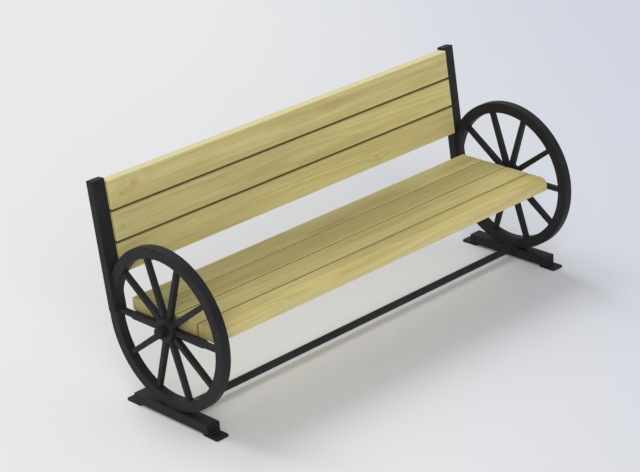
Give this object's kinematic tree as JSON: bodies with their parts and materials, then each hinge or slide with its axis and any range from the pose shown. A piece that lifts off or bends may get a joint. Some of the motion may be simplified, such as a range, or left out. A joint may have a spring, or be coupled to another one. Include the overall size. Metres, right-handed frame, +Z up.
{
  "type": "park bench",
  "caption": "Outdoor plank bench with a leaning plank back, carried at each end by a black spoked wagon wheel standing on a low foot beam, with a round stretcher between the feet.",
  "frame": {"origin": "on the floor, under the middle of the overall box", "axes": "+X along the bench towards the right end as seen from the front, +Y from the front to the back, +Z up"},
  "size_m": [1.9026, 0.652, 0.8282],
  "materials": {
    "back_wood": "clear-stained pine planks, satin",
    "seat_wood": "clear-stained pine planks, satin",
    "wheel_paint": "satin black paint",
    "frame_paint": "satin black paint",
    "plate_paint": "satin black paint",
    "pad_paint": "satin black paint, slightly worn"
  },
  "bodies": {
    "root": {"back_slat_1": "back_wood", "back_slat_2": "back_wood", "back_slat_3": "back_wood", "seat_board_1": "seat_wood", "seat_board_2": "seat_wood", "seat_board_3": "seat_wood", "seat_board_front": "seat_wood", "back_post_left": "frame_paint", "back_post_right": "frame_paint", "back_post_left_plate": "plate_paint", "back_post_right_plate": "plate_paint", "back_cleat_left": "frame_paint", "back_cleat_right": "frame_paint", "seat_bearer_left": "frame_paint", "seat_bearer_right": "frame_paint", "foot_beam_left": "frame_paint", "foot_beam_right": "frame_paint", "foot_beam_left_plate_front": "plate_paint", "foot_beam_left_plate_back": "plate_paint", "foot_beam_right_plate_front": "plate_paint", "foot_beam_right_plate_back": "plate_paint", "foot_pad_left_front": "pad_paint", "foot_pad_left_back": "pad_paint", "foot_pad_right_front": "pad_paint", "foot_pad_right_back": "pad_paint", "stretcher_rod": "frame_paint", "wheel_left_rim": "wheel_paint", "wheel_left_hub": "wheel_paint", "wheel_left_hub_cap": "plate_paint", "wheel_left_spoke_01": "wheel_paint", "wheel_left_spoke_02": "wheel_paint", "wheel_left_spoke_03": "wheel_paint", "wheel_left_spoke_04": "wheel_paint", "wheel_left_spoke_05": "wheel_paint", "wheel_left_spoke_06": "wheel_paint", "wheel_left_spoke_07": "wheel_paint", "wheel_left_spoke_08": "wheel_paint", "wheel_left_spoke_09": "wheel_paint", "wheel_left_spoke_10": "wheel_paint", "wheel_right_rim": "wheel_paint", "wheel_right_hub": "wheel_paint", "wheel_right_hub_cap": "plate_paint", "wheel_right_spoke_01": "wheel_paint", "wheel_right_spoke_02": "wheel_paint", "wheel_right_spoke_03": "wheel_paint", "wheel_right_spoke_04": "wheel_paint", "wheel_right_spoke_05": "wheel_paint", "wheel_right_spoke_06": "wheel_paint", "wheel_right_spoke_07": "wheel_paint", "wheel_right_spoke_08": "wheel_paint", "wheel_right_spoke_09": "wheel_paint", "wheel_right_spoke_10": "wheel_paint"}
  },
  "joints": []
}
